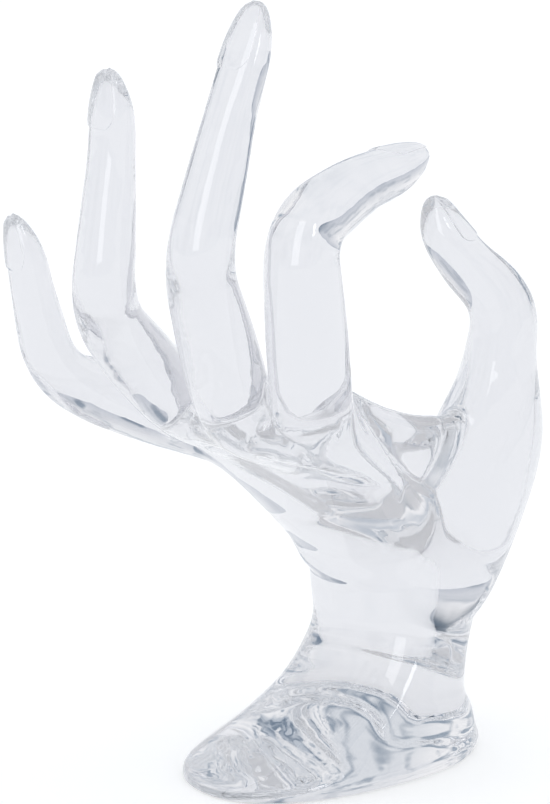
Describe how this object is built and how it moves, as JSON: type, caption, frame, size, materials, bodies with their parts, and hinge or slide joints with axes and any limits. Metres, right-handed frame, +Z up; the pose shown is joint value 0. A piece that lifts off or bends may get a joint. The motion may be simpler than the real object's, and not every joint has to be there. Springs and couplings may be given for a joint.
{
  "type": "hand-shaped jewelry stand",
  "caption": "Clear cast display hand in the OK gesture on a flared flat-footed wrist; rings slide over the fingers and chains hang in the loop.",
  "frame": {"origin": "centre of the foot's flat oval underside", "axes": "+Z up from the foot, +X out of the palm, -Y towards the thumb and forefinger side"},
  "size_m": [0.097, 0.0708, 0.1697],
  "materials": {
    "clear_cast_acrylic": "clear and polished"
  },
  "bodies": {
    "root": {"ok_hand": "clear_cast_acrylic"}
  },
  "joints": []
}
